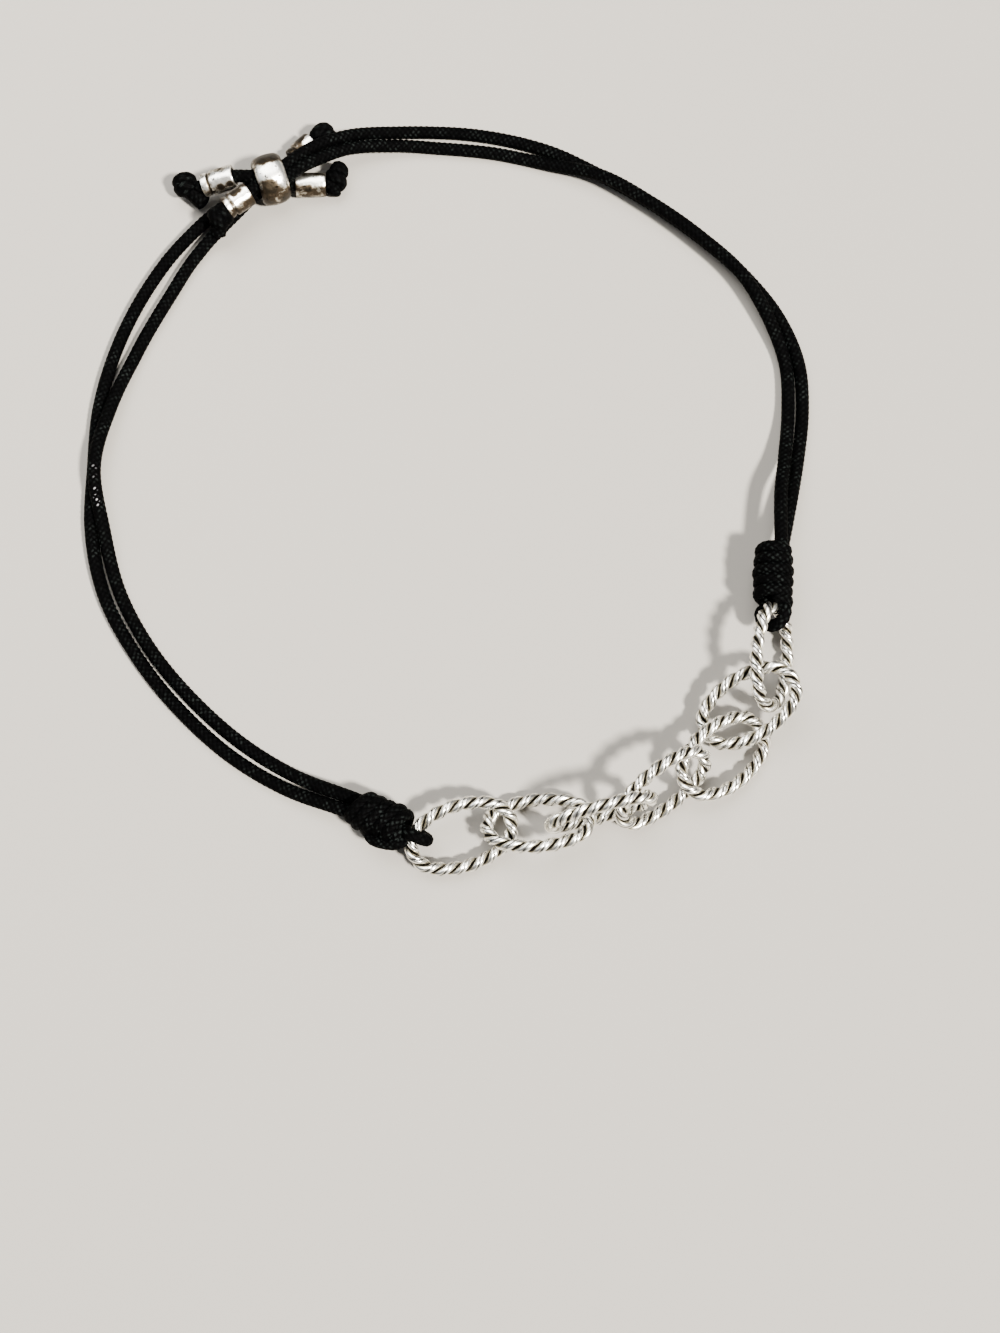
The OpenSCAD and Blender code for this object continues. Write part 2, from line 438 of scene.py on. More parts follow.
@dataclass(frozen=True)
class PatinaFinish:
    """Antique silver: bright metal that shows through a pitted brown-grey patina.

    Edges are the levels at which the silver is bright, hazed, worn and covered; besides the patina,
    these levels paint the highlight bands and reflections that the beads' spots lay. Rims are the
    dark lines where one level meets the next. The other values are written as in BraidFinish.
    """

    bright: Numbers = (0.98, 0.96, 0.90)
    hazed: Numbers = (0.42, 0.38, 0.31)
    worn: Numbers = (0.060, 0.044, 0.029)
    patina: Numbers = (0.024, 0.019, 0.013)
    pit: Numbers = (0.008, 0.006, 0.004)
    edges: Numbers = (0.14, 0.32, 0.50, 0.78)
    cloud_noise: Numbers = (1500.0, 6.0, 0.65)
    wander: float = 1.45
    rim_waves: float = 15.0
    rims: Rows = ((0.0, 0.6), (0.16, 0.0))
    rimmed: Rows = ((0.3, 0.0), (0.5, 1.0))
    pit_noise: Numbers = (2700.0, 3.0)
    pits: Rows = ((0.33, 1.0), (0.39, 0.0))
    pit_bump: Numbers = (0.03 * MM, -0.8)
    dent_noise: Numbers = (1300.0, 4.0)
    dent_bump: Numbers = (0.10 * MM, 0.7)
    polish: Rows = ((0.2, 0.3), (0.7, 0.45))

    def build(self) -> bpy.types.Material:
        """Colour the silver by its level of patina and painted light, with dark rims and pits over
        it.

        Returns:
            The beads' material.
        """
        bench = NodeBench("antique_silver", Metallic=1.0)
        drift = bench.drift(bench.noise(*self.cloud_noise), self.wander)
        # Patina and painted light: the beads' mark holds real patina, painted highlight bands and
        # painted reflections.
        age = bench.math("ADD", bench.attribute("patina_and_light"), drift)
        finishes = (self.bright, self.hazed, self.worn, self.patina)
        color = bench.ramp(age, *zip(self.edges, finishes))
        waves = bench.math("ABSOLUTE", bench.math("SINE", bench.product(age, self.rim_waves)))
        rims = bench.product(bench.ramp(waves, *self.rims), bench.ramp(age, *self.rimmed))
        pits = bench.ramp(bench.noise(*self.pit_noise), *self.pits)
        color = bench.mix(pits, bench.mix(rims, color, self.pit), self.pit)
        dents = bench.bump(bench.noise(*self.dent_noise), *self.dent_bump)
        return bench.dress(Base_Color=color, Roughness=bench.ramp(age, *self.polish),
                           Normal=bench.bump(pits, *self.pit_bump, dents))


@dataclass(frozen=True)
class FloorFinish:
    """A plain pale floor."""

    color: Numbers = (0.23, 0.217, 0.196)
    roughness: float = 0.7

    def build(self) -> bpy.types.Material:
        """Return the floor's material."""
        return NodeBench("pale_floor", Roughness=self.roughness).dress(
            Base_Color=(*self.color, 1.0))


def laid(row: Numbers) -> Matrix:
    """Work out the place of a piece whose own Z runs along a heading.

    Args:
        row: Centre x, y, z in millimetres, then yaw and pitch in degrees. More is left unread.

    Returns:
        A matrix in metres. The piece's own X points down, and its own Y to the left of the heading.
    """
    x, y, z, yaw, pitch = row[:5]
    turn = (Matrix.Rotation(math.radians(yaw), 4, "Z")
            @ Matrix.Rotation(math.radians(90 - pitch), 4, "Y"))
    return Matrix.Translation(Vector((x, y, z)) * MM) @ turn


@dataclass
class Run:
    """A smooth line at an even step, with a side direction at each of its points."""

    points: np.ndarray
    sides: np.ndarray

    @staticmethod
    def smooth(stations: np.ndarray, step: float) -> np.ndarray:
        """Draw one smooth curve through the stations.

        Args:
            stations: The points that the curve passes through.
            step: The distance between the points that come back.

        Returns:
            The curve's points, as rows.
        """
        steps = np.diff(stations, axis=0)
        gaps = np.linalg.norm(steps, axis=1)
        slopes = steps / gaps[:, None]
        before, after = gaps[:-1, None], gaps[1:, None]
        inner = (slopes[:-1] * after + slopes[1:] * before) / (before + after)
        ends = 1.5 * slopes[[0, -1]] - 0.5 * inner[[0, -1]]
        tangents = np.vstack([ends[:1], inner, ends[1:]])
        t = np.linspace(0, 1, CURVE_STEPS)[1:, None]
        dense = [stations[:1]]
        for i, gap in enumerate(gaps):
            start, stop = stations[i], stations[i + 1]
            out, back = tangents[i] * gap, tangents[i + 1] * gap
            dense.append((2 * t**3 - 3 * t**2 + 1) * start + (t**3 - 2 * t**2 + t) * out
                         + (3 * t**2 - 2 * t**3) * stop + (t**3 - t**2) * back)
        return Run.even(np.vstack(dense), step)

    @staticmethod
    def distances(points: np.ndarray) -> np.ndarray:
        """Return how far along a line each of its points lies."""
        return np.concatenate([[0], np.cumsum(np.linalg.norm(np.diff(points, axis=0), axis=1))])

    @staticmethod
    def even(points: np.ndarray, step: float) -> np.ndarray:
        """Set a line's points an even step apart.

        Args:
            points: The line's points.
            step: The distance wanted between them.

        Returns:
            The new points, from the same start to the same end.
        """
        along = Run.distances(points)
        count = max(FEWEST_STEPS, round(along[-1] / step)) + 1
        stops = np.linspace(0, along[-1], count)
        return np.column_stack([np.interp(stops, along, points[:, k]) for k in range(3)])

    @staticmethod
    def headings(points: np.ndarray) -> np.ndarray:
        """Return the unit direction of a line at each point."""
        ahead = np.gradient(points, axis=0)
        return ahead / np.linalg.norm(ahead, axis=1)[:, None]

    @classmethod
    def carried(cls, points: np.ndarray, up: Numbers = (0.0, 0.0, 1.0)) -> "Run":
        """Carry a side direction along a line without twisting it.

        Args:
            points: The line's points.
            up: The direction that the first side is square to.

        Returns:
            The run.
        """
        ahead = cls.headings(points)
        side = np.cross(ahead[0], up)
        sides = []
        for direction in ahead:
            side = side - side.dot(direction) * direction
            side = side / np.linalg.norm(side)
            sides.append(side)
        return cls(points, np.array(sides))

    @classmethod
    def facing(cls, points: np.ndarray, outward: np.ndarray) -> "Run":
        """Turn a line's side direction outwards, squared to the line.

        Args:
            points: The line's points.
            outward: The way outwards at each point.

        Returns:
            The run.
        """
        ahead = cls.headings(points)
        sides = outward - np.sum(outward * ahead, axis=1)[:, None] * ahead
        return cls(points, sides / np.linalg.norm(sides, axis=1)[:, None])


@dataclass(frozen=True)
class Braid:
    """A round braid of yarns that run both ways and pass over and under each other."""

    yarns: int = 6
    turn: float = 3.3 * MM
    relief: float = 0.075 * MM
    roundness: float = 0.6
    dive: float = 0.45
    sides: int = 36
    step: float = 0.09 * MM
    tip: float = 0.3 * MM
    tip_least: float = 0.02
    end_mark: float = 0.5

    def weave(self, angle: np.ndarray, along: np.ndarray) -> tuple[np.ndarray, np.ndarray]:
        """Work out the surface of the braid.

        Args:
            angle: Angles round the cord, as shares of a turn.
            along: Distances along the cord.

        Returns:
            The height of the yarns, from 0 to 1, and the place across the yarn that lies on top.
        """
        left = self.yarns * (angle - along / self.turn)
        right = self.yarns * (angle + along / self.turn)
        over = self.dive * np.sin(np.pi * left) * np.sin(np.pi * right)
        rise_left = np.abs(np.sin(np.pi * left)) ** self.roundness * (1 - self.dive + over)
        rise_right = np.abs(np.sin(np.pi * right)) ** self.roundness * (1 - self.dive - over)
        return (np.maximum(rise_left, rise_right),
                np.where(rise_left > rise_right, left % 1, right % 1))

    def taper(self, along: np.ndarray) -> np.ndarray:
        """Round the cord off at both ends.

        Args:
            along: Distances along the cord.

        Returns:
            The share of the cord's radius at each distance, as a column.
        """
        from_end = np.minimum(along, along[-1] - along)[:, None]
        short = 1 - np.clip(from_end / self.tip, 0, 1)
        return np.sqrt(np.clip(1 - short**2, self.tip_least, 1))

    def faces(self, count: int) -> list:
        """Join the rings of a tube and close its ends.

        Args:
            count: The number of rings. The two points that close the ends come after them.

        Returns:
            The faces, each as a list of its points.
        """
        sides = self.sides
        ring, side = np.meshgrid(np.arange(count - 1), np.arange(sides), indexing="ij")
        after = (side + 1) % sides
        quads = np.stack([ring * sides + side, ring * sides + after,
                          (ring + 1) * sides + after, (ring + 1) * sides + side], axis=-1)
        first, last = count * sides, count * sides + 1
        caps = [(first, (k + 1) % sides, k) for k in range(sides)]
        caps += [(last, first - sides + k, first - sides + (k + 1) % sides) for k in range(sides)]
        return quads.reshape(-1, 4).tolist() + caps

    @staticmethod
    def rubbing(points: np.ndarray, rubbed_glint: Rows) -> np.ndarray:
        """Work out where a cord is polished by rubbing, which its material also paints as a glint.

        Args:
            points: The cord's points.
            rubbed_glint: The places polished by rubbing and painted with a glint, as tube takes
                them.

        Returns:
            How shiny each point is, from 0 to 1.
        """
        worn = np.zeros(len(points))
        for x, y, z, radius, strength in rubbed_glint:
            away = np.linalg.norm(points / MM - (x, y, z), axis=1) / radius
            worn = np.maximum(worn, strength * np.clip(2 * (1 - away), 0, 1))
        return worn

    def tube(self, name: str, run: Run, radius: float, squeeze: float = 1.0,
             rubbed_glint: Rows = ()) -> bpy.types.Object:
        """Sweep the braid along a run as one closed mesh.

        Args:
            name: The piece's name.
            run: The line that the cord follows.
            radius: The cord's outer radius.
            squeeze: How far the cord is flattened along the run's side direction.
            rubbed_glint: Places where a yarn is polished by rubbing and painted with a light grey
                glint: x, y, z and radius in millimetres, and strength.

        Returns:
            The new piece.
        """
        along = Run.distances(run.points)
        share = np.arange(self.sides) / self.sides
        crown, across = self.weave(share[None, :], along[:, None])
        reach = (radius - self.relief * (1 - crown)) * self.taper(along)
        up = np.cross(Run.headings(run.points), run.sides)
        turn = 2 * np.pi * share
        rings = (run.points[:, None, :]
                 + (reach * np.cos(turn) * squeeze)[:, :, None] * run.sides[:, None, :]
                 + (reach * np.sin(turn))[:, :, None] * up[:, None, :])
        points = np.vstack([rings.reshape(-1, 3), run.points[:1], run.points[-1:]])
        mesh = bpy.data.meshes.new(name)
        mesh.from_pydata(points.tolist(), [], self.faces(len(along)))
        Scene.mark(mesh, "crown", np.append(crown, [self.end_mark] * 2))
        Scene.mark(mesh, "across", np.append(across, [self.end_mark] * 2))
        # Real polish from rubbing, which the material also paints with a light grey glint.
        Scene.mark(mesh, "worn", self.rubbing(points, rubbed_glint))
        mesh.shade_smooth()
        return Scene.add_mesh(name, mesh)


@dataclass(frozen=True)
class Strand:
    """One run of braided cord from a wrapped knot to the knot at its end.

    The route's points are the same as in the part's source, in millimetres. The drawn cord runs
    on by in_wraps and in_knot, into the knots that hold it.
    """

    name: str
    length: float
    route: Rows
    rubbed_glint: Rows = ()
    in_wraps: float = 1.4
    in_knot: float = 0.7
    path_step: float = 1.0 * MM

    def stations(self) -> np.ndarray:
        """Run both ends of the route on into the knots that hold them.

        Returns:
            The route's points in metres.
        """
        route = np.array(self.route)
        back, ahead = route[0] - route[1], route[-1] - route[-2]
        route = np.vstack([route[0] + back / np.linalg.norm(back) * self.in_wraps, route,
                           route[-1] + ahead / np.linalg.norm(ahead) * self.in_knot])
        return route * MM

    def line(self, step: float) -> np.ndarray:
        """Draw the cord's middle line, kept clear of the floor.

        Args:
            step: The distance between its points.

        Returns:
            The line's points.
        """
        points = Run.smooth(self.stations(), step)
        points[:, 2] = np.maximum(points[:, 2], CORD_D / 2)
        return points

    def build(self, braid: Braid, material: bpy.types.Material) -> bpy.types.Object:
        """Sweep the cord along its route.

        Args:
            braid: The braid that the cord is made of.
            material: The cord's material.

        Returns:
            The piece.
        """
        run = Run.carried(self.line(braid.step))
        piece = braid.tube("cord_" + self.name, run, CORD_D / 2, rubbed_glint=self.rubbed_glint)
        Scene.enlist(piece, Slot.CORD, material, self.name)
        return piece

    def declare(self, piece: bpy.types.Object, with_pieces: list) -> None:
        """Work out the strand's middle line at its path step; nothing is done with it."""
        points = self.line(self.path_step)


STRANDS = (
    Strand("strand_right_outer", 0.0924, (
        (31.05, -7.0, 2.4), (32.2, -2.0, 1.7), (33.05, 2.0, 0.9), (33.75, 7.0, 0.6),
        (33.6, 12.0, 0.6), (31.8, 17.0, 0.6), (28.7, 21.4, 0.7), (24.7, 25.3, 0.8),
        (19.8, 29.2, 0.8), (15.0, 32.3, 0.7), (10.0, 35.0, 0.6), (5.0, 36.5, 0.6),
        (-0.2, 37.2, 0.6), (-5.4, 37.05, 1.0), (-10.6, 35.7, 2.45), (-13.4, 34.2, 3.15),
        (-15.2, 32.95, 3.2), (-16.35, 32.05, 3.15), (-19.45, 30.9, 3.15), (-21.25, 31.08, 2.8),
        (-24.6, 30.37, 2.06))),
    Strand("strand_right_inner", 0.0893, (
        (30.7, -7.0, 3.6), (31.0, -2.0, 2.9), (31.7, 2.0, 1.6), (32.35, 7.0, 0.7),
        (32.3, 12.0, 0.7), (30.8, 16.4, 1.4), (28.4, 20.8, 1.9), (24.5, 24.8, 2.0),
        (19.6, 28.7, 2.0), (14.8, 31.7, 1.9), (9.8, 33.5, 0.9), (4.8, 34.8, 0.6),
        (-0.3, 35.4, 0.6), (-5.4, 35.55, 1.0), (-10.6, 34.4, 2.2), (-13.0, 32.9, 3.0),
        (-14.7, 31.8, 3.3), (-15.95, 30.9, 3.15), (-19.05, 29.75, 3.15), (-19.75, 28.75, 3.47),
        (-22.1, 27.05, 3.35))),
    Strand("strand_left_outer", 0.0899, (
        (-8.78, -32.2, 2.0), (-14.6, -29.9, 0.8), (-19.3, -27.1, 0.6), (-23.9, -23.1, 0.6),
        (-28.6, -17.5, 0.6), (-32.0, -11.5, 0.6), (-33.6, -5.1, 0.6), (-33.75, 1.0, 0.6),
        (-33.6, 7.2, 0.6), (-32.1, 14.0, 0.6), (-29.3, 20.5, 0.6), (-26.85, 24.35, 0.6),
        (-25.0, 26.45, 0.8), (-23.35, 28.0, 1.0), (-21.6, 29.2, 1.25), (-20.4, 30.2, 1.6),
        (-19.45, 30.9, 1.85), (-16.35, 32.05, 1.85), (-15.95, 33.6, 1.3), (-13.85, 35.7, 1.32))),
    Strand("strand_left_inner", 0.0858, (
        (-8.28, -31.05, 2.0), (-14.0, -28.6, 0.8), (-18.5, -25.8, 0.6), (-23.0, -21.9, 0.6),
        (-27.6, -16.5, 0.6), (-30.7, -10.9, 0.6), (-32.3, -5.1, 1.35), (-33.4, 0.8, 1.9),
        (-32.3, 7.2, 1.35), (-30.2, 13.3, 0.6), (-27.2, 19.5, 0.6), (-25.2, 23.2, 0.6),
        (-23.8, 25.1, 0.8), (-22.3, 26.7, 1.1), (-20.9, 28.1, 1.4), (-19.9, 29.1, 1.65),
        (-19.05, 29.75, 1.85), (-15.95, 30.9, 1.85), (-15.25, 30.85, 1.42), (-12.3, 31.0, 1.32)),
        # Places polished by rubbing, where this cord is also painted with a light grey glint.
        rubbed_glint=(
            (-33.3, 0.56, 2.5, 0.32, 0.14), (-33.15, -0.38, 2.5, 0.28, 0.08),
            (-33.05, -1.6, 2.45, 0.28, 0.3), (-32.98, -2.35, 2.4, 0.25, 1.0),
            (-32.75, -2.7, 2.35, 0.22, 0.9), (-32.75, -3.1, 2.3, 0.22, 0.3))),
)


@dataclass
class WrappedKnot:
    """A barrel knot of cord round a doubled cord, and the cord's fold that holds the end link.

    In the knot's own frame, Z points along row's heading to the middle of the fold. The wraps
    start one leg behind it. A lump is a size, a number of waves and a phase, and a row of lock
    is an angle in degrees, then a reach and a height in millimetres.
    """

    side: Side
    row: Numbers
    spin: float
    winding: Winding
    slant: float
    lumps: Rows
    length: float
    leg: float
    lock: Rows = ()
    turns: float = 5.5
    outer: float = 1.9 * MM
    cord_r: float = 0.61 * MM
    flat: float = 0.84
    dome: float = 0.3 * MM
    dome_turns: float = 1.1
    tuck: float = 0.7 * MM
    tuck_turns: float = 0.3
    level_turns: float = 0.4
    lump_out: float = 0.06 * MM
    lump_along: float = 0.05 * MM
    loop_r: float = 1.28 * MM
    neck: float = 0.66 * MM
    buried: float = 1.6 * MM
    aside: float = 0.1
    wrap_points: int = 420
    arc_points: int = 60
    leg_points: int = 30

    def laid_out(self, local: np.ndarray, spin: float = 0.0) -> np.ndarray:
        """Return points of the knot's own frame, turned by spin, in the shared frame."""
        place = np.array(laid(self.row) @ Matrix.Rotation(math.radians(spin), 4, "Z"))
        return local @ place[:3, :3].T + place[:3, 3]

    def outward(self, points: np.ndarray) -> np.ndarray:
        """Work out the way from the knot's axis to each point.

        Args:
            points: The points.

        Returns:
            The directions, as long as the points are far from the axis.
        """
        place = np.array(laid(self.row))
        away = points - place[:3, 3]
        return away - (away @ place[:3, 2])[:, None] * place[:3, 2]

    def wraps(self, braid: Braid) -> bpy.types.Object:
        """Wind the cord round the knot's axis, with both ends tucked under.

        Args:
            braid: The braid that the cord is made of.

        Returns:
            The piece.
        """
        turn = np.linspace(0, self.turns, self.wrap_points)
        share = turn / turn[-1]
        tucked = np.clip(np.minimum(turn, turn[-1] - turn) / self.tuck_turns, 0, 1)
        angle = self.winding.value * 2 * np.pi * turn
        lump = sum(size * np.sin(2 * np.pi * (share * waves + phase))
                   for size, waves, phase in self.lumps)
        reach = self.outer - self.cord_r * self.flat + self.lump_out * lump
        reach -= (1 - np.sqrt(tucked)) * self.tuck
        reach -= self.dome * np.clip(1 - turn / self.dome_turns, 0, 1)
        climb = (turn - self.level_turns) / (turn[-1] - 2 * self.level_turns)
        travel = (self.length - 2 * self.cord_r) * np.clip(climb, 0, 1)
        sway = (self.slant * np.sin(angle) + self.lump_along * lump) * tucked
        z = -self.leg - self.length + self.cord_r + travel + sway
        line = self.laid_out(np.column_stack([reach * np.cos(angle), reach * np.sin(angle), z]))
        points = Run.even(line, braid.step)
        points[:, 2] = np.maximum(points[:, 2], self.cord_r)
        run = Run.facing(points, self.outward(points))
        return braid.tube("knot_wraps_" + self.side.value, run, self.cord_r, self.flat)

    def locking_turn(self, braid: Braid) -> bpy.types.Object:
        """Lay the last turn over the others, where the knot was drawn tight.

        Args:
            braid: The braid that the cord is made of.

        Returns:
            The piece.
        """
        rows = [(reach * math.cos(math.radians(angle)), reach * math.sin(math.radians(angle)), z)
                for angle, reach, z in self.lock]
        points = Run.smooth(self.laid_out(np.array(rows) * MM), braid.step)
        run = Run.facing(points, self.outward(points))
        return braid.tube("knot_lock_" + self.side.value, run, self.cord_r, self.flat)

    def loop(self, braid: Braid) -> bpy.types.Object:
        """Fold the cord through the end link, with both legs drawn together into the wraps.

        Args:
            braid: The braid that the cord is made of.

        Returns:
            The piece.
        """
        arc = np.radians(np.linspace(0, 180, self.arc_points))
        legs = np.linspace(-self.leg - self.buried, 0, self.leg_points)[:-1]
        part = np.clip(1 + legs / self.leg, 0, 1)
        spread = self.neck + (self.loop_r - self.neck) * np.sin(part * np.pi / 2)
        x = np.concatenate([spread, self.loop_r * np.cos(arc), -spread[::-1]])
        z = np.concatenate([legs, self.loop_r * np.sin(arc), legs[::-1]])
        line = self.laid_out(np.column_stack([x, np.zeros_like(x), z]), self.spin)
        off_heading = tuple(np.array(laid(self.row))[:3, 2] + self.aside)
        run = Run.carried(Run.even(line, braid.step), off_heading)
        return braid.tube("knot_loop_" + self.side.value, run, self.cord_r)

    def build(self, braid: Braid, material: bpy.types.Material) -> None:
        """Make the wraps, the loop and the locking turn, and dress them.

        Args:
            braid: The braid that the cord is made of.
            material: The cord's material.
        """
        side = self.side.value
        Scene.enlist(self.wraps(braid), Slot.CORD, material, "wrapped_knot_" + side)
        Scene.enlist(self.loop(braid), Slot.CORD, material, "loop_" + side)
        if self.lock:
            Scene.enlist(self.locking_turn(braid), Slot.CORD, material)


WRAPPED_KNOTS = (
    WrappedKnot(
        side=Side.LEFT, row=(-2.85, -34.35, 2.5, -26, 4), spin=15.0, winding=Winding.COUNTER,
        slant=0.30 * MM, lumps=((1.0, 3.0, 0.1), (0.9, 7.3, 0.4), (0.7, 11.0, 0.8)),
        length=5.5 * MM, leg=0.55 * MM,
        lock=((-70, 1.3, -4.1), (-86, 2.0, -3.2), (-94, 1.95, -2.0), (-106, 1.5, -0.8),
              (-125, 0.9, -0.4))),
    WrappedKnot(
        side=Side.RIGHT, row=(29.75, -13.9, 3.0, -93, 0), spin=-53.0, winding=Winding.CLOCKWISE,
        slant=0.16 * MM, lumps=((0.6, 2.0, 0.3), (0.5, 6.1, 0.1), (0.4, 9.3, 0.6)),
        length=6.05 * MM, leg=0.6 * MM),
)


@dataclass
class EndKnot:
    """A tight knot on a cord's end: a round head of cord wound over itself, with a cut tail.

    The head's centre and the tail's end are in millimetres. The winding swings from pole
    degrees above the head's middle to as many below it.
    """

    name: str
    head: Numbers
    axis: Numbers
    tail: Numbers
    outer: float
    half: float
    cord_r: float
    start: float = 0.0
    turns: float = 1.6
    pole: float = 58.0
    stops: int = 22
    tail_bow: float = 0.45
    up: Numbers = (0.1, 0.2, 1.0)

    def stations(self) -> np.ndarray:
        """Wind from one end of the head to the other, then on to the tail's end.

        Returns:
            The winding's points in metres.
        """
        middle, tail = Vector(self.head) * MM, Vector(self.tail) * MM
        axis = Vector(self.axis).normalized()
        side = axis.orthogonal().normalized()
        rows = [middle]
        for i in range(self.stops):
            share = i / (self.stops - 1)
            swing = math.radians(self.pole * (1 - 2 * share))
            angle = math.radians(self.start) + 2 * math.pi * self.turns * share
            reach = (self.outer - self.cord_r) * math.cos(swing)
            height = (self.half - self.cord_r) * math.sin(swing) / math.sin(math.radians(self.pole))
            around = side * math.cos(angle) + axis.cross(side) * math.sin(angle)
            rows.append(middle + around * reach + axis * height)
        rows += [rows[-1].lerp(tail, self.tail_bow), tail]
        return np.array(rows)

    def build(self, braid: Braid, material: bpy.types.Material) -> bpy.types.Object:
        """Tie the knot.

        Args:
            braid: The braid that the cord is made of.
            material: The cord's material.

        Returns:
            The piece.
        """
        points = Run.smooth(self.stations(), braid.step)
        points[:, 2] = np.maximum(points[:, 2], self.cord_r)
        piece = braid.tube("tied_" + self.name, Run.carried(points, self.up), self.cord_r)
        Scene.enlist(piece, Slot.CORD, material, self.name)
        return piece


END_KNOTS = (
    EndKnot("end_knot_1", (-26.25, 30.75, 1.75), (0.5, -0.75, -0.2), (-24.25, 28.95, 1.1),
            outer=1.35 * MM, half=1.3 * MM, cord_r=0.86 * MM, start=120.0),
    EndKnot("end_knot_2", (-22.45, 26.35, 3.1), (-0.6, -0.75, -0.3), (-22.7, 24.9, 1.9),
            outer=1.35 * MM, half=1.3 * MM, cord_r=0.72 * MM, start=40.0),
    EndKnot("end_knot_3", (-12.8, 36.2, 1.5), (0.8, -0.5, 0.1), (-11.6, 35.2, 1.1),
            outer=1.5 * MM, half=1.45 * MM, cord_r=0.84 * MM),
    EndKnot("end_knot_4", (-11.35, 31.8, 1.4), (-0.15, -1.0, -0.1), (-11.7, 29.95, 0.9),
            outer=1.2 * MM, half=1.6 * MM, cord_r=0.7 * MM),
)


@dataclass
class LinkChain:
    """Seven interlocked ovals of two wires twisted together.

    The oval's middle line is the solid's, so it is laid out with the solid's rope, which is a
    little thinner than the rope drawn here. A row is a link's centre in millimetres, then its
    yaw, pitch and roll in degrees.
    """

    length: float = 10.44 * MM
    width: float = 6.74 * MM
    end_r: float = 2.2 * MM
    solid_rope_d: float = 1.24 * MM
    turns: int = 8
    steps: int = 32
    wire_sides: int = 32
    wire_r: float = 0.36 * MM
    line_depth: float = 0.08 * MM
    line_width: float = 0.25
    crest_from: float = 0.45 * ROPE_D
    weld_gap: float = 0.004 * MM
    rows: Rows = (
        (1.4, -34.4, 1.9, 18, 0, 20),
        (8.2, -33.3, 2.2, 4, 4, -30),
        (13.7, -32.6, 3.7, 14, 12, 90),
        (19.3, -30.3, 3.2, 37, 4, 60),
        (24.9, -27.1, 1.9, 39, -11, 18),
        (27.3, -22.6, 2.5, 31, 15, 3),
        (29.5, -18.1, 2.9, 83, 1, 53),
    )

    def __post_init__(self) -> None:
        """Work out the arcs of the oval, of which a quarter is an end arc and a side arc."""
        self.half_l = (self.length - self.solid_rope_d) / 2
        self.half_w = (self.width - self.solid_rope_d) / 2
        rise = self.half_w - self.end_r
        straight = self.half_l - self.end_r
        self.side_r = (straight**2 + self.half_w**2 - self.end_r**2) / (2 * rise)
        self.end_half = math.atan2(self.side_r - self.half_w, straight)
        self.end_run = self.end_r * self.end_half
        self.quarter = self.end_run + self.side_r * (math.pi / 2 - self.end_half)
        self.round = 4 * self.quarter

    def oval(self, run: float) -> tuple[float, float, float]:
        """Find a point on the oval's middle line.

        Args:
            run: The distance round the oval.

        Returns:
            The point's x and y, and the angle that the oval's outer side faces there.
        """
        quarter = int(run // self.quarter) % 4
        rest = run % self.quarter
        rest = rest if quarter % 2 == 0 else self.quarter - rest
        if rest < self.end_run:
            a = rest / self.end_r
            x = self.half_l - self.end_r + self.end_r * math.cos(a)
            y = self.end_r * math.sin(a)
        else:
            a = self.end_half + (rest - self.end_run) / self.side_r
            x = self.side_r * math.cos(a)
            y = self.half_w - self.side_r + self.side_r * math.sin(a)
        return ((x, y, a), (-x, y, math.pi - a), (-x, -y, math.pi + a), (x, -y, -a))[quarter]

    def on_line(self, place: Vector) -> float:
        """Tell how near a point is to the fine line along the crest of its wire.

        Args:
            place: A point of the rope while it is still straight.

        Returns:
            1 on the line, falling to 0 beside it.
        """
        turn = 2 * math.pi * self.turns * place.z / self.round
        away = (math.atan2(place.y, place.x) - turn + math.pi / 2) % math.pi - math.pi / 2
        on_crest = math.hypot(place.x, place.y) > self.crest_from
        return math.exp(-((away / self.line_width) ** 2)) if on_crest else 0.0

    def rope(self) -> bpy.types.Object:
        """Twist two wires together along Z, as long as the oval is round.

        Returns:
            The rope.
        """
        apart = ROPE_D / 2 - self.wire_r
        pitch = self.round / self.turns
        lean = math.atan2(2 * math.pi * apart, pitch)
        Scene.deselect()
        bpy.ops.mesh.primitive_circle_add(vertices=self.wire_sides, radius=self.wire_r,
                                          location=(apart, 0, 0), rotation=(-lean, 0, 0))
        rope = bpy.context.active_object
        bpy.ops.object.transform_apply(location=True, rotation=True, scale=True)
        Scene.modify(rope, "SCREW", axis="Z", angle=2 * math.pi, screw_offset=pitch,
                     iterations=self.turns, steps=self.steps, render_steps=self.steps,
                     use_merge_vertices=False, use_normal_calculate=True)
        bpy.ops.object.mode_set(mode="EDIT")
        bpy.ops.mesh.select_all(action="SELECT")
        bpy.ops.mesh.duplicate()
        bpy.ops.transform.rotate(value=math.pi, orient_axis="Z", center_override=(0, 0, 0))
        bpy.ops.object.mode_set(mode="OBJECT")
        return rope

    def master(self) -> bpy.types.Object:
        """Bend the rope round the oval and close it into one link.

        Returns:
            The link, in its own frame.
        """
        link = self.rope()
        mesh = link.data
        line = [self.on_line(v.co) for v in mesh.vertices]
        crest = [math.hypot(v.co.x, v.co.y) / (ROPE_D / 2) for v in mesh.vertices]
        Scene.mark(mesh, "crest", crest)
        Scene.mark(mesh, "line", line)
        for v, mark in zip(mesh.vertices, line):
            dip = 1 - mark * self.line_depth * 2 / ROPE_D
            x, y, out = self.oval(v.co.z % self.round)
            aside = v.co.x * dip
            v.co = (x + aside * math.cos(out), y + aside * math.sin(out), v.co.y * dip)
        Scene.weld(link, self.weld_gap)
        mesh.shade_smooth()
        return link

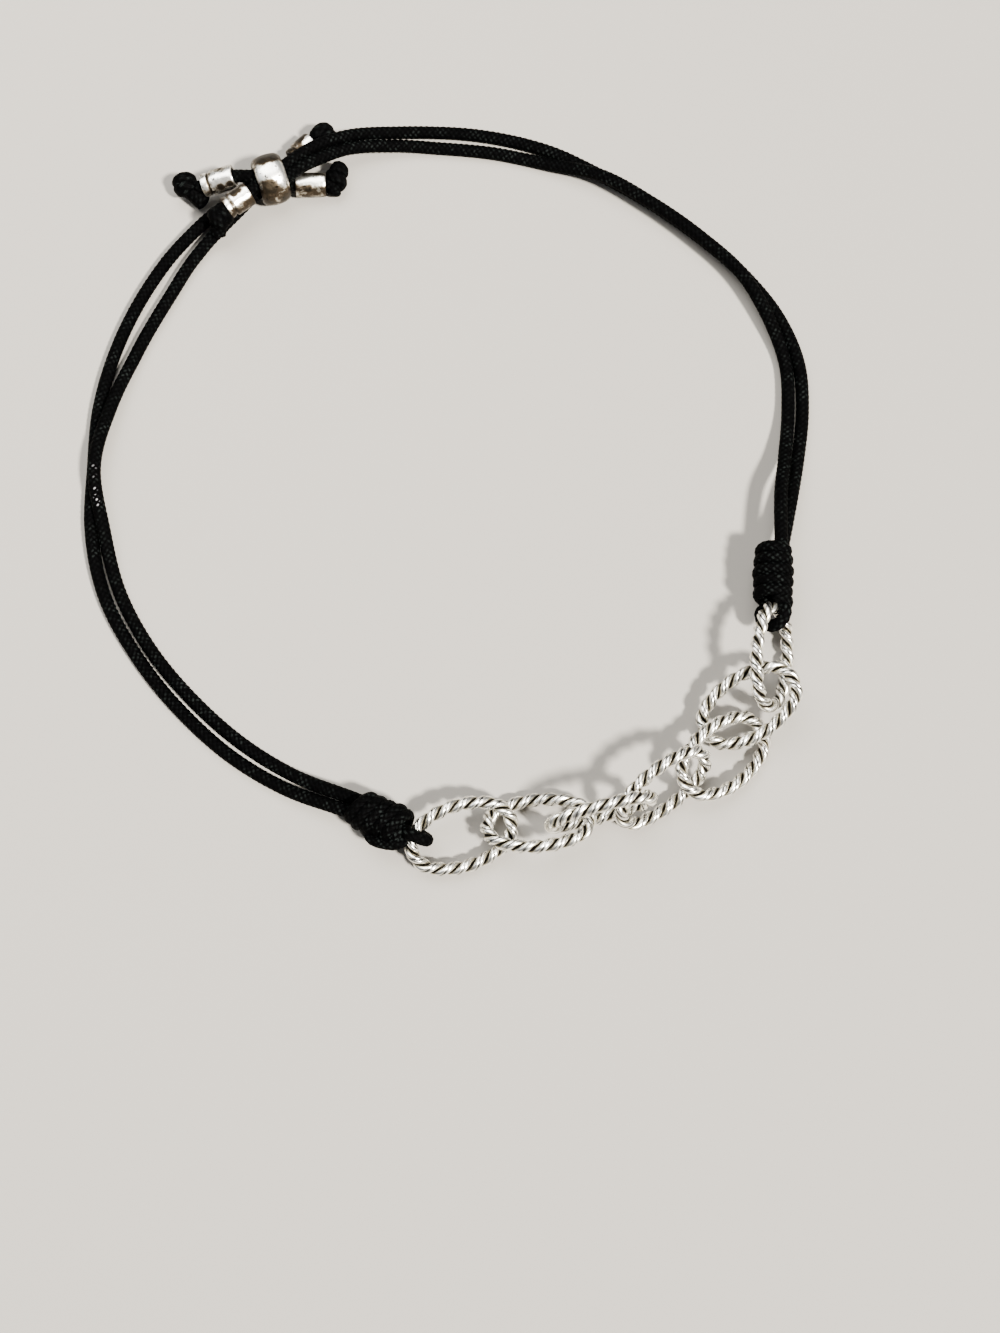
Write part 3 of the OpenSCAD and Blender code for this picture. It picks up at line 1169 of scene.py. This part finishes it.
    def build(self, material: bpy.types.Material) -> None:
        """Copy the link to each place in the chain and dress it.

        Args:
            material: The links' material.
        """
        master = self.master()
        for number, (x, y, z, *angles) in enumerate(self.rows, 1):
            yaw, pitch, roll = (math.radians(angle) for angle in angles)
            turn = (Matrix.Rotation(yaw, 4, "Z") @ Matrix.Rotation(-pitch, 4, "Y")
                    @ Matrix.Rotation(roll, 4, "X"))
            link = Scene.add_mesh("twisted_link_%d" % number, master.data.copy())
            Scene.settle(link, Matrix.Translation(Vector((x, y, z)) * MM) @ turn)
            Scene.enlist(link, Slot.SILVER, material, "link_%d" % number)
        bpy.data.objects.remove(master)


@dataclass
class TurnedBead:
    """A bead with a bore, turned from a profile, dented, with patina and painted light in places.

    Lengths are in millimetres. A level is how dark the silver is painted, from 0 where it is
    bright: real patina, and on the spots painted highlight bands and painted reflections too. A
    spot is a place, a radius and a level.
    """

    name: str
    row: Numbers
    profile: Rows
    bore: float
    spots: Rows
    age: float
    groove_age: float = 0.0
    bore_age: float = 1.2
    groove_reach: float = 1.12
    groove_edge: float = 0.08
    bore_edge: float = 0.06
    spot_fade: float = 1.7
    between_faces: float = 0.9
    segments: int = 72
    smoothing: int = 2
    weld_gap: float = 0.002
    dent_depth: float = 0.07
    dent_size: float = 1.5
    dent_level: float = 0.6

    def build(self, material: bpy.types.Material) -> bpy.types.Object:
        """Spin the profile, soften its edges and dent it.

        Args:
            material: The bead's material.

        Returns:
            The piece.
        """
        Scene.deselect()
        bpy.ops.mesh.primitive_circle_add(vertices=len(self.profile), radius=MM)
        bead = bpy.context.active_object
        bead.name = bead.data.name = "worn_" + self.name
        for vertex, (reach, height) in zip(bead.data.vertices, self.profile):
            vertex.co = (reach * MM, 0, height * MM)
        bpy.ops.object.mode_set(mode="EDIT")
        bpy.ops.mesh.select_all(action="SELECT")
        bpy.ops.mesh.spin(steps=self.segments, angle=2 * math.pi, center=(0, 0, 0),
                          axis=(0, 0, 1))
        bpy.ops.object.mode_set(mode="OBJECT")
        Scene.weld(bead, self.weld_gap * MM)
        Scene.modify(bead, "SUBSURF", levels=self.smoothing, render_levels=self.smoothing)
        least = self.least_age(bead.data)
        dents = bpy.data.textures.new("dents", "CLOUDS")
        dents.noise_scale = self.dent_size * MM
        dents.noise_depth = 1
        Scene.settle(bead, laid(self.row))
        Scene.modify(bead, "DISPLACE", texture=dents, strength=self.dent_depth * MM,
                     mid_level=self.dent_level, texture_coords="LOCAL")
        self.mark_patina_and_light(bead.data, least)
        bead.data.shade_smooth()
        Scene.enlist(bead, Slot.AGED_SILVER, material, self.name)
        return bead

    def least_age(self, mesh: bpy.types.Mesh) -> np.ndarray:
        """Find the points in the bore and the groove, where no rubbing keeps the silver bright.

        Args:
            mesh: The bead's mesh, in its own frame.

        Returns:
            The least level of each point: 0 on the outside.
        """
        x, y, z = np.array([v.co for v in mesh.vertices]).T / MM
        reach, half = np.hypot(x, y), -self.profile[-1][1]
        in_groove = np.clip((self.groove_reach - reach) / self.groove_edge, 0, 1)
        least = self.groove_age * in_groove * (np.abs(z) < self.between_faces * half)
        least[reach < self.bore + self.bore_edge] = self.bore_age
        return least

    def mark_patina_and_light(self, mesh: bpy.types.Mesh, least: np.ndarray) -> None:
        """Store how dark each point is painted: patina, with the painted highlight bands and
        painted reflections that the spots lay.

        Args:
            mesh: The bead's mesh, in its place.
            least: The least level of each point.
        """
        places = np.array([v.co for v in mesh.vertices]) / MM
        patina_and_light = np.full(len(places), self.age)
        # The spots lay painted highlight bands and painted reflections, and darken some places.
        for x, y, z, radius, age in self.spots:
            away = np.linalg.norm(places - (x, y, z), axis=1) / radius
            near = np.clip(self.spot_fade - away, 0, 1)
            patina_and_light += (age - patina_and_light) * near * near * (3 - 2 * near)
        Scene.mark(mesh, "patina_and_light", np.maximum(patina_and_light, least))


@dataclass
class Closure:
    """The slider that all four cords pass through, and the small bead on each cord's end.

    Lengths are in millimetres. slider_size is the slider's reach at its belly and its faces, its
    length and its bore, and bead_size is an end bead's reach and bore. Each of beads is a row
    that ends with the length, the level outside and in the groove, and the spots, which also lay
    painted highlight bands and painted reflections. A groove of level 0 isn't there.
    """

    slider_row: Numbers = (-17.7, 30.9, 2.5, 20, 0)
    slider_size: Numbers = (2.5, 1.9, 3.0, 1.6)
    slider_age: float = 0.56
    # Painted light: the clean spots paint a highlight band along the slider's top, the dark spot on
    # its far top edge and the tan spot low on its near side are painted reflections, and the spot
    # on its near face is a dark blotch.
    slider_spots: Rows = (
        (-18.4, 30.1, 4.9, 0.75, 0.0), (-17.5, 30.5, 4.9, 0.8, 0.0),
        (-16.75, 30.75, 4.85, 0.75, 0.0), (-16.2, 30.0, 4.5, 0.75, 0.0),
        (-17.3, 29.9, 4.65, 0.6, 0.0), (-18.3, 28.95, 4.25, 0.4, 0.2),
        (-17.5, 29.15, 4.2, 0.6, 0.85), (-18.0, 32.05, 4.6, 0.8, 0.85),
        (-17.85, 28.3, 3.15, 0.6, 0.7),
    )
    bead_size: Numbers = (1.2, 0.75)
    # Painted light: in each bead's spots, those near level 0 paint a highlight band along its top,
    # the third bead's tan spot on its left side is a painted reflection, and the small dark spots
    # darken it in places.
    beads: tuple = (
        ((-22.85, 30.74, 2.48, 12, 12, 3.3), 0.28, 0.8, (
            (-24.1, 30.1, 3.2, 0.45, 0.0), (-23.0, 30.45, 3.55, 0.6, 0.0),
            (-22.0, 30.4, 3.6, 0.6, 0.0), (-22.5, 29.8, 3.05, 0.28, 0.8),
            (-21.6, 30.0, 3.3, 0.26, 0.8), (-22.8, 31.3, 3.4, 0.35, 0.6))),
        ((-20.78, 27.98, 3.42, 36, 3, 2.8), 0.57, 0.36, (
            (-21.1, 27.45, 4.55, 0.55, 0.0), (-20.1, 28.15, 4.6, 0.55, 0.0),
            (-20.6, 27.8, 4.62, 0.4, 0.05), (-21.5, 26.9, 4.4, 0.3, 0.1),
            (-20.95, 28.1, 4.6, 0.28, 0.85), (-20.5, 28.4, 4.6, 0.22, 0.7))),
        ((-14.85, 34.75, 1.3, 45, 1, 2.7), 0.74, 0.72, (
            (-14.1, 35.5, 2.5, 0.4, 0.0), (-14.5, 35.0, 2.5, 0.3, 0.1),
            (-15.6, 34.9, 2.3, 0.5, 0.5))),
        ((-13.9, 30.95, 1.37, 2, -2, 3.0), 0.5, 0.0, (
            (-14.9, 30.8, 2.6, 0.42, 0.0), (-14.3, 30.8, 2.58, 0.42, 0.0),
            (-13.7, 30.83, 2.56, 0.42, 0.0), (-13.1, 30.82, 2.54, 0.42, 0.0),
            (-12.6, 30.82, 2.52, 0.42, 0.0), (-14.0, 30.05, 2.16, 0.3, 0.8))),
    )

    def slider_profile(self) -> Rows:
        """Draw the slider's profile: a barrel with rounded lips and a wide bore.

        Returns:
            Pairs of reach and height, round the profile.
        """
        belly, face, length, bore = self.slider_size
        half, lip, waist, bulge = length / 2, face - 0.04, 0.4, 0.8
        shoulder, mouth = 0.93 * half, 0.97 * half
        angles = [math.radians(a) for a in range(-75, 76, 15)]
        outside = [(face + (belly - face) * math.cos(a) ** bulge, shoulder * math.sin(a))
                   for a in angles]
        inside = ((lip, half), (bore, mouth), (bore, waist), (bore, -waist), (bore, -mouth),
                  (lip, -half))
        return (*outside, *inside)

    def bead_profile(self, length: float, grooved: bool) -> Rows:
        """Draw an end bead's profile: a plain tube, or one with a collar behind a groove.

        Args:
            length: The bead's length.
            grooved: Whether it has the collar and the groove.

        Returns:
            Pairs of reach and height, round the profile.
        """
        outer, bore = self.bead_size
        half, lip, edge = length / 2, 0.06, 0.05
        collar, bottom, groove = outer - 0.07, outer - 0.2, -length / 4
        plain = ((outer - lip, -half), (outer, lip - half), (outer, -0.4), (outer, 0.4),
                 (outer, half - lip), (outer - lip, half))
        cut = ((collar - lip, -half), (collar, -half + lip), (collar, groove - 0.16),
               (bottom, groove - 0.08), (bottom, groove + 0.02), (outer, groove + 0.1),
               (outer, groove + 0.22), (outer, 0.3), (outer, half - lip), (outer - lip, half))
        inside = ((bore + edge, half), (bore, half - edge), (bore, 0.0), (bore, edge - half),
                  (bore + edge, -half))
        return (cut if grooved else plain) + inside

    def build(self, material: bpy.types.Material) -> list:
        """Turn the five beads.

        Args:
            material: The beads' material.

        Returns:
            The four end beads, in the order of their cords.
        """
        TurnedBead("slider_bead", self.slider_row, self.slider_profile(), self.slider_size[3],
                   self.slider_spots, self.slider_age).build(material)
        made = []
        for number, (row, age, groove_age, spots) in enumerate(self.beads, 1):
            profile = self.bead_profile(row[5], groove_age > 0)
            bead = TurnedBead("end_bead_%d" % number, row, profile, self.bead_size[1], spots,
                              age, groove_age)
            made.append(bead.build(material))
        return made


@dataclass
class Studio:
    """A pale floor, soft lights and the camera at the photograph's angle."""

    floor_size: float = 3.0
    key_from: Numbers = (0.14, -0.12, 0.22)
    key_power: float = 21.0
    key_angle: float = 7.0
    key_color: Numbers = (1.0, 0.95, 0.87)
    lights: tuple = (
        ("window", (-0.075, 0.12, 0.30), 0.30, 3.0, (1.0, 0.98, 0.94)),
        ("fill", (-0.22, 0.02, 0.18), 0.20, 0.2, (0.93, 0.96, 1.0)),
    )
    room_color: Numbers = (0.86, 0.88, 0.92)
    room_strength: float = 0.2
    target: Numbers = (4.8 * MM, -18.2 * MM, 0.0)
    elevation: float = 74.0
    distance: float = 170.9 * MM
    lens: float = 50.0
    sensor: float = 36.0
    clip: Numbers = (0.005, 10.0)

    @staticmethod
    def hang(light: bpy.types.Light, place: Numbers) -> None:
        """Put a light at its place, aimed at the middle of the object.

        Args:
            light: The light's data.
            place: Where it hangs, in metres.
        """
        lamp = bpy.data.objects.new(light.name, light)
        lamp.location = place
        lamp.rotation_euler = (-Vector(place)).to_track_quat("-Z", "Y").to_euler()
        bpy.context.scene.collection.objects.link(lamp)

    def lay_floor(self) -> None:
        """Lay the floor."""
        Scene.deselect()
        bpy.ops.mesh.primitive_plane_add(size=self.floor_size)
        floor = bpy.context.active_object
        floor.name = "floor"
        floor.data.materials.append(FloorFinish().build())

    def light(self) -> None:
        """Hang the key, the two soft lights and the light of the room."""
        key = bpy.data.lights.new("key", "SUN")
        key.angle = math.radians(self.key_angle)
        key.energy, key.color = self.key_power, self.key_color
        self.hang(key, self.key_from)
        for name, place, size, power, color in self.lights:
            lamp = bpy.data.lights.new(name, "AREA")
            lamp.size, lamp.energy, lamp.color = size, power, color
            self.hang(lamp, place)
        world = bpy.data.worlds.new("soft_room")
        world.use_nodes = True
        background = world.node_tree.nodes["Background"]
        background.inputs["Color"].default_value = (*self.room_color, 1.0)
        background.inputs["Strength"].default_value = self.room_strength
        bpy.context.scene.world = world

    def set_camera(self) -> None:
        """Set the camera at the photograph's angle."""
        data = bpy.data.cameras.new("camera")
        data.lens, data.sensor_width, data.sensor_fit = self.lens, self.sensor, "AUTO"
        data.clip_start, data.clip_end = self.clip
        camera = bpy.data.objects.new("camera", data)
        tilt = math.radians(self.elevation)
        back = Vector((0.0, -math.cos(tilt), math.sin(tilt)))
        camera.location = Vector(self.target) + back * self.distance
        camera.rotation_euler = (-back).to_track_quat("-Z", "Y").to_euler()
        bpy.context.scene.collection.objects.link(camera)
        bpy.context.scene.camera = camera

    def build(self) -> None:
        """Set the floor, the lights and the camera."""
        self.lay_floor()
        self.light()
        self.set_camera()


def main() -> None:
    """Build the pieces in order."""
    logging.basicConfig(level=logging.INFO, format="%(name)s: %(message)s")
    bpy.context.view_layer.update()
    braid = Braid()
    black = BraidFinish().build()
    Studio().build()
    cords = [strand.build(braid, black) for strand in STRANDS]
    for knot in WRAPPED_KNOTS:
        knot.build(braid, black)
    LinkChain().build(WireFinish().build())
    beads = Closure().build(PatinaFinish().build())
    for strand, cord, bead, knot in zip(STRANDS, cords, beads, END_KNOTS):
        strand.declare(cord, [bead, knot.build(braid, black)])


if __name__ == "__main__":
    main()
